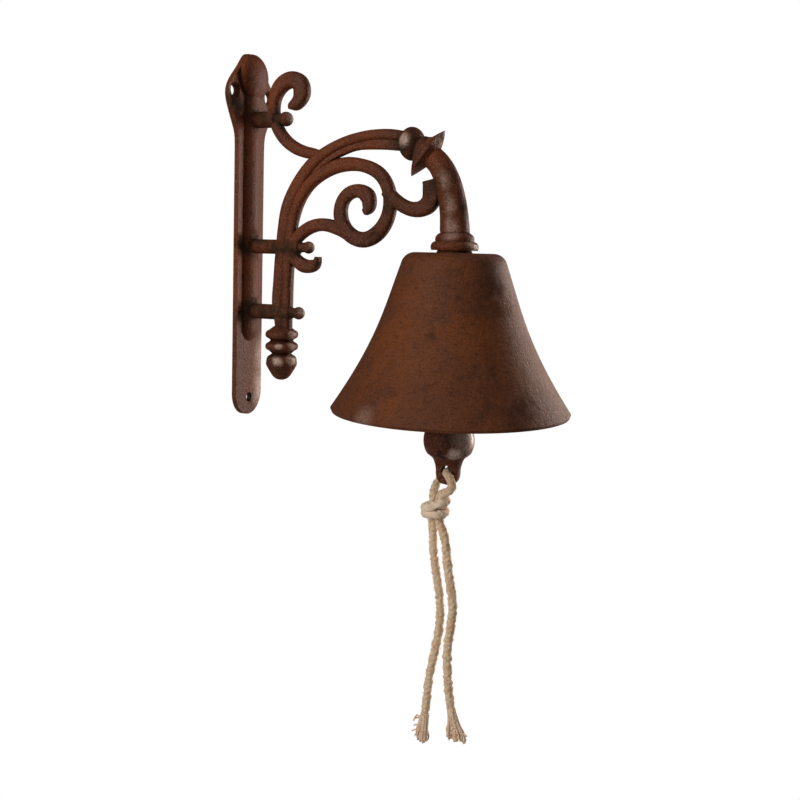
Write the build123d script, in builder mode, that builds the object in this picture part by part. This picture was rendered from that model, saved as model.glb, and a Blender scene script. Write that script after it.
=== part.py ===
"""A cast iron wall bell: a scrolled bracket, a flared bell, a clapper on a wire link and a rope pull.

Frame: X points out from the wall, Z is up, and the bracket is symmetric about Y = 0. The origin
lies on the back face of the wall plate, at the height of the middle cross bar. Sizes are in mm.
"""

from build123d import *
import math
import os

os.makedirs("parts", exist_ok=True)

# Reach from the wall to the bell's axis. The arm is drawn for the first value and stretches with it
drawn_reach = 122.4
bell_x = 122.4
stretch = bell_x / drawn_reach

# Wall plate
plate_top_z = 102.6
plate_foot_z = -92.5
plate_half_width = 12.3
plate_thickness = 3.0
lobe_half_width = 21.8
lobe_z = 81.0
lobe_hole_y = 16.6
lobe_hole_z = 81.8
lobe_hole_diameter = 5.2
lobe_sink_diameter = 8.8
foot_hole_z = -83.2
foot_hole_diameter = 5.2
dome_center_z = 90.6
dome_height = 6.2
dome_radius = 12.4
rib_half_width = 8.0
rib_height = 3.4
rib_top_z = 84.0
rib_end_z = -52.0

# Cross bars: height, diameter, ball centre and ball radius
top_bar_z = 68.0
top_bar_diameter = 8.8
top_bar_end_x = 19.0 * stretch
top_ball_x = 24.2 * stretch
top_ball_radius = 3.9
middle_bar_z = 0.0
middle_bar_diameter = 7.8
middle_bar_end_x = 34.6 * stretch
middle_ball_x = 39.2 * stretch
middle_ball_radius = 3.3
foot_bar_z = -35.3
foot_bar_diameter = 8.2
foot_bar_end_x = 29.6 * stretch
foot_ball_x = 33.8 * stretch
foot_ball_radius = 3.4
bar_root_x = 2.0
bar_root_swell = 1.0

# Scroll work: thickness across Y of each member
stem_thickness = 6.8
bead_thickness = 6.2
web_thickness = 4.0
curl_thickness = 6.6
tendril_thickness = 5.8
branch_thickness = 6.4
corner_share = 0.38

# Finial under the stem
finial_x = 23.6 * stretch
finial_top_z = -43.0
finial_disc_radius = 8.9
finial_neck_radius = 6.0
finial_bud_radius = 8.3
finial_tip_z = -72.0

# Knop and leafed calyx between the arm and the neck
knop_x = 98.0 * stretch
knop_z = 53.4
knop_half_length = 6.6
knop_radius = 8.5
calyx_x = 106.7 * stretch
calyx_z = 48.4
calyx_fall_deg = 38.0
calyx_tip_radius = 14.2
calyx_root_radius = 6.0
calyx_front_length = 6.4
calyx_back_length = 3.8
calyx_half_width = 8.4

# Bell
bell_crown_z = -0.9
bell_lip_z = -81.0
bell_mouth_radius = 60.3
bell_crown_thickness = 4.0
bell_wall = 3.5
bell_lip_wall = 4.0
bell_shoulder_fillet = 7.0
bell_hole_radius = 3.4
bell_boss_radius = 8.5
bell_boss_height = 1.2
bell_lip_height = 1.5
bell_wall_slope_drop = 1.1
# The outside of the bell below its crown: share of the mouth's radius and share of the height
bell_flare = [(0.4080, 0.0), (0.5224, 0.2547), (0.6036, 0.4270), (0.7148, 0.6167), (0.8557, 0.8102)]

# Collar of the neck, which seats on the bell's boss
collar_height = 9.0
collar_flange_radius = 12.0
collar_ring_radius = 9.9
collar_neck_radius = 7.5
socket_depth = 15.0

# Hanger bolt, nut and washer
bolt_radius = 3.0
bolt_clearance = 0.3
bolt_tip_clearance = 1.0
washer_radius = 8.0
washer_thickness = 1.2
nut_across_flats = 10.0
nut_height = 4.5
seat_gap = 0.05
eye_mean_radius = 4.3
eye_wire_radius = 1.6

# Wire link
link_mean_radius = 6.2
link_wire_radius = 1.3
ring_gap = 0.3

# Clapper
clapper_eye_mean_radius = 4.4
clapper_eye_wire_radius = 1.7
clapper_rod_radius = 2.9
clapper_ball_radius = 13.0
clapper_ball_z = bell_lip_z - 14.3
tail_hole_z = clapper_ball_z - 15.3
tail_hole_radius = 2.8
tail_half_width = 6.3
tail_end_z = tail_hole_z - 7.4
tail_thickness = 5.6

# Rope
cord_diameter = 4.0
knot_x = bell_x - 6.2
knot_top_z = tail_hole_z - 16.8
knot_strand_x = 2.05
knot_strand_y = 0.75
knot_turns = 2
knot_pitch = 3.6
knot_cord_diameter = 3.4
knot_bend_radius = 3.8
knot_clearance = 0.06

bell_plane = Plane(origin=(bell_x, 0, 0), x_dir=(1, 0, 0), z_dir=(0, -1, 0))
bell_axis = Axis((bell_x, 0, 0), (0, 0, 1))
bell_top_z = bell_crown_z + bell_boss_height


def tapered_bar(points, widths, thickness):
    """A cast bar of rounded section that follows drawn points in the plane Y = 0, with a width at each."""
    placed = [(x * stretch, z) for x, z in points]
    with BuildLine(Plane.XZ) as route:
        Spline(*placed)
    curve = route.edges()[0]
    at_points = [curve.param_at_point(Vector(x, 0, z)) for x, z in placed]
    stations = []
    for i in range(len(points) - 1):
        stations.append((at_points[i], widths[i]))
        stations.append(((at_points[i] + at_points[i + 1]) / 2, (widths[i] + widths[i + 1]) / 2))
    stations.append((at_points[-1], widths[-1]))
    with BuildPart() as bar:
        for place, width in stations:
            section = Plane(origin=curve @ place, x_dir=(0, 1, 0), z_dir=curve % place)
            depth = min(thickness, 1.6 * width)
            with BuildSketch(section):
                RectangleRounded(depth, width, corner_share * min(depth, width))
        loft()
    return bar.part


def spheroid(x, z, half_length, radius):
    """A rounded boss whose round section faces along X."""
    with BuildPart() as boss:
        with BuildSketch(Plane.XZ):
            with BuildLine():
                EllipticalCenterArc((x, z), half_length, radius, start_angle=0, arc_size=180)
                Line((x - half_length, z), (x + half_length, z))
            make_face()
        revolve(axis=Axis((x, 0, z), (1, 0, 0)))
    return boss.part


def cross_bar(z, diameter, end_x, ball_x, ball_radius):
    """A round bar out of the plate, with a rounded end and a ball beyond it."""
    radius = diameter / 2
    with BuildPart() as bar:
        with BuildSketch(Plane.XZ):
            with BuildLine():
                Polyline(
                    (bar_root_x, z),
                    (bar_root_x, z + radius + bar_root_swell),
                    (bar_root_x + 4.0, z + radius),
                    (end_x - 1.0, z + radius),
                    (end_x, z + radius - 1.0),
                    (end_x + 1.0, z + ball_radius * 0.8),
                    (ball_x, z + ball_radius * 0.8),
                    (ball_x, z),
                    close=True,
                )
            make_face()
        revolve(axis=Axis((0, 0, z), (1, 0, 0)))
        with Locations((ball_x, 0, z)):
            Sphere(ball_radius)
    return bar.part


# The outline of the wall plate, drawn on the wall plane with Y to the right
with BuildPart() as plate_block:
    with BuildSketch(Plane.YZ):
        with BuildLine():
            foot_center_z = plate_foot_z + plate_half_width
            side = Spline(
                (4.2, plate_top_z),
                (8.8, 98.5),
                (12.6, 94.0),
                (17.8, 88.6),
                (lobe_half_width, lobe_z),
                (19.2, 72.0),
                (14.6, 63.6),
                (plate_half_width, 52.0),
                tangents=((1, -0.45), (0, -1)),
            )
            edge = Line(side @ 1, (plate_half_width, foot_center_z))
            foot = RadiusArc(edge @ 1, (0, plate_foot_z), plate_half_width)
            Line(foot @ 1, (0, plate_top_z))
            Line((0, plate_top_z), side @ 0)
        make_face()
        mirror(about=Plane.YZ)
    extrude(amount=plate_thickness + dome_height + 2)

# The relief that the outline is cut from: a flat plate, a broad half-round rib and a domed head
rib_radius = (rib_half_width**2 + rib_height**2) / (2 * rib_height)
rib_center_x = plate_thickness + rib_height - rib_radius
rib_round_z = rib_end_z + rib_half_width
plate_dome = spheroid(plate_thickness, dome_center_z, dome_height, dome_radius)
with BuildPart() as plate_relief:
    with Locations((0, 0, plate_foot_z - 1)):
        Box(
            plate_thickness,
            2 * lobe_half_width + 2,
            plate_top_z - plate_foot_z + 2,
            align=(Align.MIN, Align.CENTER, Align.MIN),
        )
    with Locations((rib_center_x, 0, rib_round_z)):
        Cylinder(rib_radius, rib_top_z - rib_round_z, align=(Align.CENTER, Align.CENTER, Align.MIN))
        Sphere(rib_radius)
    add(plate_dome)

with BuildPart() as wall_plate:
    add(plate_relief.part)
    add(plate_block.part, mode=Mode.INTERSECT)
    with Locations(Plane(origin=(plate_thickness, 0, lobe_hole_z), x_dir=(0, 1, 0), z_dir=(1, 0, 0))):
        with Locations((-lobe_hole_y, 0), (lobe_hole_y, 0)):
            CounterSinkHole(lobe_hole_diameter / 2, lobe_sink_diameter / 2, depth=plate_thickness + 1)
    with Locations(Plane(origin=(0, 0, foot_hole_z), x_dir=(0, 1, 0), z_dir=(1, 0, 0))):
        Cylinder(foot_hole_diameter / 2, 20, mode=Mode.SUBTRACT)

# Scroll members, each from its centreline in X and Z and its width there
stem = tapered_bar(
    [(22.2, -45), (22.1, -20), (23.3, -3), (24.5, 9), (26.8, 21.5), (32.6, 33.2), (41.2, 44), (54.2, 52.5),
     (66.4, 56.7), (77.4, 58.3), (88.2, 58), (96, 56.4)],
    [7.4, 7.4, 7.4, 7.5, 7.6, 7.6, 7.0, 5.8, 5.4, 5.4, 5.6, 5.6],
    stem_thickness,
)
bead = tapered_bar(
    [(26.5, -45), (26.8, -20), (27.5, -3), (28.6, 9), (32.2, 22.5), (39.2, 33.2), (49.5, 40.3), (60.5, 43.6),
     (70.2, 43), (80.5, 38.3), (86.2, 27.8), (85.5, 17), (79.8, 8.3), (71.6, 4.7), (62.8, 8.2), (58.2, 17.6),
     (60.6, 26.4), (67.4, 29.9), (73.8, 26.9), (74.4, 21.6), (72.2, 18.9)],
    [5.6, 5.6, 5.8, 6.0, 6.2, 6.4, 6.8, 7.4, 6.8, 6.9, 6.9, 7.2, 8.0, 8.2, 7.8, 7.4, 6.8, 7.0, 8.2, 6.8, 3.4],
    bead_thickness,
)
web = tapered_bar(
    [(30, 24), (36, 34), (46, 44), (57, 50.2), (66.5, 53.2), (77, 54), (88, 53.6), (96, 52.6)],
    [4.5, 5, 5.5, 5.5, 5.4, 6.2, 6.6, 6.4],
    web_thickness,
)
curl = tapered_bar(
    [(26.6, 74.6), (29.8, 75.4), (33.6, 80.6), (32.2, 86.5), (27.0, 88.4), (20.6, 85.2), (17.0, 78), (17.0, 70),
     (19.2, 63.6), (24.6, 56.6), (31.7, 52), (40.3, 49.6), (46.5, 49.2)],
    [3.2, 6.4, 9.0, 9.2, 8.8, 8.2, 6.8, 6.2, 6.2, 6.3, 6.4, 6.0, 3.6],
    curl_thickness,
)
tendril = tapered_bar(
    [(28, 0.5), (33, 5.8), (39.2, 10.2), (46.5, 12.2), (54, 11.2), (62, 7.6)],
    [6.0, 6.6, 6.8, 6.8, 7.0, 6.4],
    tendril_thickness,
)
hook = tapered_bar(
    [(27, -2), (31.6, -6.4), (37.2, -9.8), (42.4, -9.4), (45, -4.8)],
    [6.0, 6.8, 7.4, 6.6, 2.8],
    tendril_thickness,
)
branch = tapered_bar(
    [(84.5, 30), (89.5, 25.2), (96, 21.4), (102.8, 20.6), (108.4, 23.9), (109.8, 29.8), (109.2, 35.2)],
    [6.6, 6.8, 7.2, 8.0, 9.2, 10.0, 9.6],
    branch_thickness,
)

# Neck: a round bar that swells toward the collar
neck_route = [
    (calyx_x - 4, calyx_z + 3.1),
    (calyx_x, calyx_z),
    (112.8 * stretch, 43.2),
    (117.2 * stretch, 35.6),
    (120.2 * stretch, 26.0),
    (121.8 * stretch, 16.5),
    (bell_x, bell_top_z + collar_height),
]
neck_diameters = [10.8, 11.4, 12.0, 13.0, 13.8, 14.4, 2 * collar_neck_radius]
with BuildLine(Plane.XZ) as neck_line:
    Spline(*neck_route, tangents=((0.79, -0.61), (0, -1)))
with BuildPart() as neck:
    neck_curve = neck_line.edges()[0]
    for point, diameter in zip(neck_route, neck_diameters):
        place = neck_curve.param_at_point(Vector(point[0], 0, point[1]))
        with BuildSketch(Plane(origin=neck_curve @ place, x_dir=(0, 1, 0), z_dir=neck_curve % place)):
            Circle(diameter / 2)
    loft()

# Collar: two rings round the neck's end, and the socket for the hanger bolt
with BuildPart() as collar:
    with BuildSketch(bell_plane):
        with BuildLine():
            Line((0, bell_top_z), (collar_flange_radius - 0.5, bell_top_z))
            ThreePointArc(
                (collar_flange_radius - 0.5, bell_top_z),
                (collar_flange_radius, bell_top_z + 1.4),
                (collar_flange_radius - 1.6, bell_top_z + 4.2),
            )
            Line(
                (collar_flange_radius - 1.6, bell_top_z + 4.2),
                (collar_ring_radius - 0.2, bell_top_z + 4.5),
            )
            ThreePointArc(
                (collar_ring_radius - 0.2, bell_top_z + 4.5),
                (collar_ring_radius - 0.1, bell_top_z + 5.8),
                (collar_neck_radius + 0.7, bell_top_z + 8.2),
            )
            Line(
                (collar_neck_radius + 0.7, bell_top_z + 8.2),
                (collar_neck_radius - 0.4, bell_top_z + collar_height),
            )
            Line((collar_neck_radius - 0.4, bell_top_z + collar_height), (0, bell_top_z + collar_height))
            Line((0, bell_top_z + collar_height), (0, bell_top_z))
        make_face()
    revolve(axis=bell_axis)
    add(neck.part)
    with Locations((bell_x, 0, bell_top_z)):
        Cylinder(
            bolt_radius + bolt_clearance,
            socket_depth,
            align=(Align.CENTER, Align.CENTER, Align.MIN),
            mode=Mode.SUBTRACT,
        )

# Calyx: a flared cup round the start of the neck, cut to an upper and a lower leaf
calyx_fall = math.radians(calyx_fall_deg)
calyx_forward = Vector(math.cos(calyx_fall), 0, -math.sin(calyx_fall))
calyx_up = Vector(math.sin(calyx_fall), 0, math.cos(calyx_fall))
calyx_profile_plane = Plane(origin=(calyx_x, 0, calyx_z), x_dir=calyx_up, z_dir=calyx_up.cross(calyx_forward))
calyx_cross_plane = Plane(origin=(calyx_x, 0, calyx_z), x_dir=calyx_up, z_dir=calyx_forward)
with BuildPart() as calyx:
    with BuildSketch(calyx_profile_plane):
        with BuildLine():
            Line((0, -calyx_front_length), (calyx_root_radius, -calyx_front_length))
            ThreePointArc(
                (calyx_root_radius, -calyx_front_length),
                (calyx_root_radius + 2.4, -2.6),
                (calyx_tip_radius, 0),
            )
            ThreePointArc(
                (calyx_tip_radius, 0),
                (calyx_root_radius + 3.2, 1.2),
                (calyx_root_radius - 0.4, calyx_back_length),
            )
            Line((calyx_root_radius - 0.4, calyx_back_length), (0, calyx_back_length))
            Line((0, calyx_back_length), (0, -calyx_front_length))
        make_face()
    revolve(axis=Axis((calyx_x, 0, calyx_z), tuple(calyx_forward)))
    with BuildSketch(calyx_cross_plane.offset(-calyx_front_length - 1)):
        with BuildLine():
            tip = calyx_tip_radius + 0.1
            ThreePointArc((-tip, 0), (0, calyx_half_width), (tip, 0))
            ThreePointArc((tip, 0), (0, -calyx_half_width), (-tip, 0))
        make_face()
    extrude(amount=calyx_front_length + calyx_back_length + 2, mode=Mode.INTERSECT)

# Finial: two discs and a bud with a pointed tip
with BuildPart() as finial:
    with BuildSketch(Plane.XZ):
        with BuildLine():
            Line((finial_x, finial_top_z), (finial_x + 4.6, finial_top_z))
            Line((finial_x + 4.6, finial_top_z), (finial_x + 7.2, finial_top_z - 2.0))
            ThreePointArc(
                (finial_x + 7.2, finial_top_z - 2.0),
                (finial_x + finial_disc_radius, finial_top_z - 4.2),
                (finial_x + 7.2, finial_top_z - 6.4),
            )
            Line(
                (finial_x + 7.2, finial_top_z - 6.4),
                (finial_x + finial_neck_radius, finial_top_z - 7.4),
            )
            Line(
                (finial_x + finial_neck_radius, finial_top_z - 7.4),
                (finial_x + 7.2, finial_top_z - 8.6),
            )
            ThreePointArc(
                (finial_x + 7.2, finial_top_z - 8.6),
                (finial_x + finial_disc_radius, finial_top_z - 10.7),
                (finial_x + 7.2, finial_top_z - 12.8),
            )
            Line((finial_x + 7.2, finial_top_z - 12.8), (finial_x + 5.2, finial_top_z - 14.6))
            Spline(
                (finial_x + 5.2, finial_top_z - 14.6),
                (finial_x + 7.6, finial_top_z - 16.4),
                (finial_x + finial_bud_radius, finial_top_z - 19.0),
                (finial_x + 5.7, finial_top_z - 25.4),
                tangents=((0.6, -0.8), (-0.5, -0.85)),
            )
            Spline(
                (finial_x + 5.7, finial_top_z - 25.4),
                (finial_x, finial_tip_z),
                tangents=((-0.5, -0.85), (-1, 0)),
            )
            Line((finial_x, finial_tip_z), (finial_x, finial_top_z))
        make_face()
    revolve(axis=Axis((finial_x, 0, 0), (0, 0, 1)))

# Cross bars and the knop, then the bracket, where everything above is one casting
knop = spheroid(knop_x, knop_z, knop_half_length, knop_radius)
top_bar = cross_bar(top_bar_z, top_bar_diameter, top_bar_end_x, top_ball_x, top_ball_radius)
middle_bar = cross_bar(middle_bar_z, middle_bar_diameter, middle_bar_end_x, middle_ball_x, middle_ball_radius)
foot_bar = cross_bar(foot_bar_z, foot_bar_diameter, foot_bar_end_x, foot_ball_x, foot_ball_radius)
with BuildPart() as bracket:
    add(stem)
    add(bead)
    add(web)
    add(curl)
    add(tendril)
    add(hook)
    add(branch)
    add(collar.part)
    add(calyx.part)
    add(knop)
    add(finial.part)
    add(top_bar)
    add(middle_bar)
    add(foot_bar)
    add(wall_plate.part)

# Bell: a crown with a boss, a shoulder and a wall that flares to the lip
bell_height = bell_crown_z - bell_lip_z
inner_crown_z = bell_crown_z - bell_crown_thickness
flare = [(bell_mouth_radius * out, bell_crown_z - bell_height * down) for out, down in bell_flare]
crown_radius = flare[0][0]
inner_flare = [(crown_radius - bell_wall, inner_crown_z)]
for radius, height in flare[1:]:
    inner_flare.append((radius - bell_wall, height - bell_wall_slope_drop))
with BuildPart() as bell:
    with BuildSketch(bell_plane):
        with BuildLine():
            Line((bell_hole_radius, bell_top_z), (bell_boss_radius, bell_top_z))
            Line((bell_boss_radius, bell_top_z), (bell_boss_radius + 0.6, bell_crown_z))
            Line((bell_boss_radius + 0.6, bell_crown_z), (crown_radius, bell_crown_z))
            wall = Spline(*flare, (bell_mouth_radius, bell_lip_z + bell_lip_height))
            Line(wall @ 1, (bell_mouth_radius - 0.7, bell_lip_z))
            Line((bell_mouth_radius - 0.7, bell_lip_z), (bell_mouth_radius - bell_lip_wall, bell_lip_z))
            lining = Spline((bell_mouth_radius - bell_lip_wall, bell_lip_z), *reversed(inner_flare))
            Line(lining @ 1, (bell_hole_radius, inner_crown_z))
            Line((bell_hole_radius, inner_crown_z), (bell_hole_radius, bell_top_z))
        make_face()
    revolve(axis=bell_axis)
    rings = bell.edges().filter_by(GeomType.CIRCLE)
    shoulder = [e for e in rings if abs(e.radius - crown_radius) < 0.01]
    fillet(shoulder, bell_shoulder_fillet)

# Hanger bolt: a plain shank into the collar's socket, with an eye below the nut
washer_top_z = bell_crown_z - bell_crown_thickness - seat_gap
nut_top_z = washer_top_z - washer_thickness - seat_gap
nut_low_z = nut_top_z - nut_height
eye_center_z = nut_low_z - 2.4 - eye_mean_radius - eye_wire_radius
shank_top_z = bell_top_z + socket_depth - bolt_tip_clearance
with BuildPart() as hanger_bolt:
    with Locations((bell_x, 0, eye_center_z + eye_mean_radius)):
        Cylinder(
            bolt_radius,
            shank_top_z - eye_center_z - eye_mean_radius,
            align=(Align.CENTER, Align.CENTER, Align.MIN),
        )
    chamfer(hanger_bolt.faces().sort_by(Axis.Z)[-1].edges(), 0.8)
    with Locations(Location((bell_x, 0, eye_center_z), (90, 0, 0))):
        Torus(eye_mean_radius, eye_wire_radius)

with BuildPart() as bell_washer:
    with Locations((bell_x, 0, washer_top_z)):
        Cylinder(washer_radius, washer_thickness, align=(Align.CENTER, Align.CENTER, Align.MAX))
        Cylinder(
            bolt_radius + bolt_clearance,
            washer_thickness,
            align=(Align.CENTER, Align.CENTER, Align.MAX),
            mode=Mode.SUBTRACT,
        )

with BuildPart() as bell_nut:
    with BuildSketch(Plane(origin=(bell_x, 0, nut_low_z), x_dir=(1, 0, 0), z_dir=(0, 0, 1))):
        RegularPolygon(nut_across_flats / 2, 6, major_radius=False)
        Circle(bolt_radius + seat_gap, mode=Mode.SUBTRACT)
    extrude(amount=nut_height)

# Wire link: its top wire lies in the bolt's eye and its plane faces the wall
bolt_eye_low_z = eye_center_z - eye_mean_radius
link_top_z = bolt_eye_low_z + eye_wire_radius + link_wire_radius + ring_gap
link_center_z = link_top_z - link_mean_radius
link_low_z = link_center_z - link_mean_radius
with BuildPart() as wire_link:
    with Locations(Location((bell_x, 0, link_center_z), (0, 90, 0))):
        Torus(link_mean_radius, link_wire_radius)

# Clapper: eye, rod, ball and tail
clapper_eye_top_z = link_low_z + link_wire_radius + clapper_eye_wire_radius + ring_gap
clapper_eye_z = clapper_eye_top_z - clapper_eye_mean_radius
with BuildPart() as clapper:
    with Locations(Location((bell_x, 0, clapper_eye_z), (90, 0, 0))):
        Torus(clapper_eye_mean_radius, clapper_eye_wire_radius)
    with BuildSketch(bell_plane):
        with BuildLine():
            rod_top_z = clapper_eye_z - clapper_eye_mean_radius
            shoulder_radius = clapper_rod_radius + 0.4
            shoulder_z = clapper_ball_z + math.sqrt(clapper_ball_radius**2 - shoulder_radius**2)
            Line((0, rod_top_z), (clapper_rod_radius - 0.6, rod_top_z))
            Line((clapper_rod_radius - 0.6, rod_top_z), (shoulder_radius, shoulder_z))
            ball_low = math.radians(27)
            ball_low_z = clapper_ball_z - clapper_ball_radius * math.sin(ball_low)
            ball_low_r = clapper_ball_radius * math.cos(ball_low)
            ThreePointArc(
                (shoulder_radius, shoulder_z),
                (clapper_ball_radius, clapper_ball_z),
                (ball_low_r, ball_low_z),
            )
            Spline(
                (ball_low_r, ball_low_z),
                (tail_half_width + 2.2, tail_hole_z + 6.6),
                (tail_half_width + 0.6, tail_hole_z + 3.2),
                (tail_half_width, tail_hole_z - 1.0),
                tangents=((-0.46, -0.888), (0, -1)),
            )
            Spline(
                (tail_half_width, tail_hole_z - 1.0),
                (0, tail_end_z),
                tangents=((0, -1), (-1, 0)),
            )
            Line((0, tail_end_z), (0, rod_top_z))
        make_face()
    revolve(axis=bell_axis)

# The tail is flattened to a blade across Y and drilled for the rope
with BuildPart() as tail_cut:
    with BuildSketch(Plane.YZ.offset(bell_x - 20)):
        with BuildLine():
            flat = tail_thickness / 2
            Polyline(
                (flat, tail_end_z - 1),
                (flat, tail_hole_z + 2),
                (flat + 5.0, clapper_ball_z - 8.5),
                (flat + 18, clapper_ball_z - 4.0),
                (flat + 18, tail_end_z - 1),
                close=True,
            )
        make_face()
        mirror(about=Plane.YZ)
    extrude(amount=40)

with BuildPart() as finished_clapper:
    add(clapper.part)
    add(tail_cut.part, mode=Mode.SUBTRACT)
    with Locations(Location((bell_x, 0, tail_hole_z), (90, 0, 0))):
        Cylinder(tail_hole_radius, 30, mode=Mode.SUBTRACT)

# Rope: both halves start in the tail's hole, meet in the knot and hang free to their frayed ends


def from_tail(points):
    """Places points that are drawn from the middle of the tail's hole."""
    return [(bell_x + x, y, tail_hole_z + z) for x, y, z in points]


right_route = from_tail([
    (0.2, 0.0, -0.4),
    (0.2, -4.4, -0.4),
    (3.8, -6.9, -2.6),
    (5.2, -5.9, -6.6),
    (1.6, -3.6, -10.4),
    (-4.1, -0.8, -13.3),
    (-4.2, -0.7, -20.0),
    (-4.1, -0.8, -26.8),
    (-1.5, -0.4, -32.4),
    (0.1, 0.0, -39.9),
    (0.9, 0.0, -48.4),
    (2.9, -0.4, -58.4),
    (4.9, -0.2, -68.9),
    (3.8, 0.4, -79.9),
    (2.1, 0.6, -90.4),
    (2.3, 0.2, -101.9),
    (3.6, -0.4, -112.9),
    (5.4, -0.6, -123.4),
    (7.2, -0.2, -132.9),
    (8.4, 0.0, -140.4),
])
left_route = from_tail([
    (0.2, 0.0, -0.4),
    (0.2, 4.4, -0.4),
    (-3.8, 6.9, -2.4),
    (-7.4, 6.4, -6.4),
    (-8.4, 4.2, -10.0),
    (-8.3, 0.8, -13.3),
    (-8.2, 0.7, -20.0),
    (-8.3, 0.8, -26.8),
    (-7.5, 0.5, -35.9),
    (-6.6, 0.0, -45.9),
    (-4.4, -0.3, -56.9),
    (-2.4, 0.0, -67.9),
    (-2.2, 0.4, -79.4),
    (-3.8, 0.2, -91.4),
    (-6.2, -0.3, -102.9),
    (-7.8, -0.4, -114.4),
    (-8.6, 0.0, -125.9),
    (-10.4, 0.3, -135.9),
    (-11.2, 0.2, -144.4),
])


def bend_radii(route):
    """The arc at each inner point, as large as its two runs allow."""
    radii = []
    for before, here, after in zip(route, route[1:], route[2:]):
        into = Vector(*here) - Vector(*before)
        out = Vector(*after) - Vector(*here)
        half_turn = math.radians(into.get_angle(out)) / 2
        radii.append(0.45 * min(into.length, out.length) / math.tan(half_turn))
    return radii


def cord_tube(route, name):
    """A round cord along straight runs joined by tangent arcs, with its radii and volume printed."""
    radii = bend_radii(route)
    with BuildLine() as line:
        FilletPolyline(*route, radius=radii)
    path = line.wires()[0]
    with BuildPart() as tube:
        with BuildSketch(Plane(origin=path @ 0, z_dir=path % 0)):
            Circle(cord_diameter / 2)
        sweep(path=path)
    expected = math.pi * (cord_diameter / 2) ** 2 * path.length
    print(name, "length", round(path.length, 1), "volume share", round(tube.part.volume / expected, 4))
    print(name, "radii", [round(r, 1) for r in radii])
    return tube


pull_cord_right = cord_tube(right_route, "right half")
pull_cord_left = cord_tube(left_route, "left half")

# Knot: two tight turns of the cord round both halves
knot_half_x = knot_strand_x + cord_diameter / 2 + knot_cord_diameter / 2 + knot_clearance
knot_half_y = knot_strand_y + cord_diameter / 2 + knot_cord_diameter / 2 + knot_clearance
knot_corners = [(1, 1), (1, -1), (-1, -1), (-1, 1)]
knot_route = [(knot_x, knot_half_y, knot_top_z)]
for i in range(4 * knot_turns):
    side_x, side_y = knot_corners[i % 4]
    drop = knot_pitch * (i + 0.5) / 4
    knot_route.append((knot_x + side_x * knot_half_x, side_y * knot_half_y, knot_top_z - drop))
knot_route.append((knot_x, knot_half_y, knot_top_z - knot_pitch * knot_turns))
with BuildLine() as knot_line:
    FilletPolyline(*knot_route, radius=knot_bend_radius)
knot_path = knot_line.wires()[0]
with BuildPart() as cord_knot:
    with BuildSketch(Plane(origin=knot_path @ 0, z_dir=knot_path % 0)):
        Circle(knot_cord_diameter / 2)
    sweep(path=knot_path)

pieces = {
    "bracket": bracket,
    "bell": bell,
    "hanger_bolt": hanger_bolt,
    "bell_washer": bell_washer,
    "bell_nut": bell_nut,
    "wire_link": wire_link,
    "clapper": finished_clapper,
    "pull_cord_right": pull_cord_right,
    "pull_cord_left": pull_cord_left,
    "cord_knot": cord_knot,
}
for name, piece in pieces.items():
    piece.part.label = name
    export_step(piece.part, f"parts/{name}.step")
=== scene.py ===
"""Looks of a cast iron wall bell: rust brown iron, dull steel fixings and a twisted cotton cord."""

import logging
import math
import random
from collections.abc import Sequence
from dataclasses import dataclass, replace
from enum import Enum

import bmesh
import bpy
from mathutils import Matrix, Vector, noise


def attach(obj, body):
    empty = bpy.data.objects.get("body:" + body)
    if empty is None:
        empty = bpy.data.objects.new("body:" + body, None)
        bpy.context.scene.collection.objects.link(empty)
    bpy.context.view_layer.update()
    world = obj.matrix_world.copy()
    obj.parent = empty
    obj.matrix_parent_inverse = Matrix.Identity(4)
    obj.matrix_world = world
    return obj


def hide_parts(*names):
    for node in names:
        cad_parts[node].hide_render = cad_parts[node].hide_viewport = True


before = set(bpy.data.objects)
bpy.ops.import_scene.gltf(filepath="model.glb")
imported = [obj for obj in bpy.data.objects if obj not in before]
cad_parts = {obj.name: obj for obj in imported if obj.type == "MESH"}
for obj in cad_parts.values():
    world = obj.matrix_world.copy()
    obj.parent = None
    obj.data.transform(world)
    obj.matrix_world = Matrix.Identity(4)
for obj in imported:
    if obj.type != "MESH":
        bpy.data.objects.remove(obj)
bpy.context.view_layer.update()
LOG = logging.getLogger("wall_bell")

Colour = tuple[float, float, float]
Point = tuple[float, float, float]
Limits = tuple[float, float]
Spot = tuple[Point, float]
Node = bpy.types.Node
Socket = bpy.types.NodeSocket
Tree = bpy.types.NodeTree
Material = bpy.types.Material
Piece = bpy.types.Object
YarnMesh = bmesh.types.BMesh
Rings = list[list[bmesh.types.BMVert]]

FULL_TURN = 2 * math.pi
MM_PER_M = 1000
WHITE = (1.0, 1.0, 1.0, 1.0)
LAY_ATTRIBUTE = "groove"
CORD_BODY = "clapper"

# Sockets of a Mix node that mixes colours
MIX_SHARE, MIX_UNDER, MIX_OVER, MIX_RESULT = 0, 6, 7, 2


class Casting(Enum):
    """The iron castings, each with its own balance of browns."""

    BRACKET = "bracket"
    BELL = "bell"
    CLAPPER = "clapper"


class CordHalf(Enum):
    """The two halves of the pull cord, named for the side that they hang on."""

    RIGHT = "pull_cord_right"
    LEFT = "pull_cord_left"


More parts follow.
